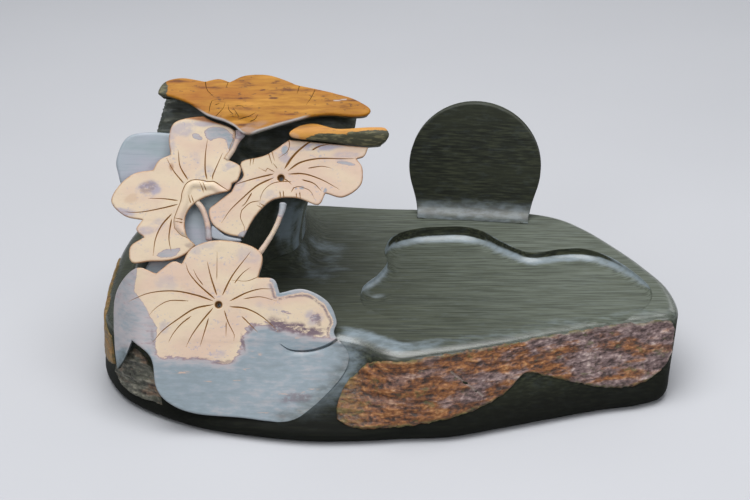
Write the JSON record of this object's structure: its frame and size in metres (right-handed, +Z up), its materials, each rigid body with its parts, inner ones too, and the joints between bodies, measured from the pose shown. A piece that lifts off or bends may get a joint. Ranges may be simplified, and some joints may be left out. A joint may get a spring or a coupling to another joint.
{
  "type": "brush holder pot",
  "caption": "Carved layered-stone desk piece: a deep brush pot behind a screen of lotus leaves, a slab base with a shallow pond, and an upright moon disc.",
  "frame": {"origin": "centre of the overall box, on the table under the base", "axes": "+X to the right along the base's length, +Y to the back, +Z up; the lotus screen faces -Y"},
  "size_m": [0.3087, 0.2064, 0.158],
  "materials": {
    "green_stone": "honed dark grey-green stone with a fine horizontal grain, satin",
    "tan_stone": "honed tan stone with fine blue and pink specks and engraved veins, matt",
    "blue_grey_stone": "honed blue-grey stone, matt",
    "orange_skin": "polished orange stone skin with dark streaks, satin",
    "rust_crust": "natural rough rust-brown stone crust, unpolished"
  },
  "bodies": {
    "root": {"base_slab": "green_stone", "brush_pot": "green_stone", "moon_disc": "green_stone", "front_leaf": "tan_stone", "left_leaf": "tan_stone", "right_leaf": "tan_stone", "rolled_leaf_edge": "orange_skin", "top_leaf": "orange_skin", "back_leaf": "blue_grey_stone", "leaf_web": "blue_grey_stone", "left_stem": "tan_stone", "right_stem": "tan_stone", "top_leaf_stem": "tan_stone", "front_rind": "rust_crust", "left_rind": "rust_crust", "side_rind": "rust_crust"}
  },
  "joints": []
}
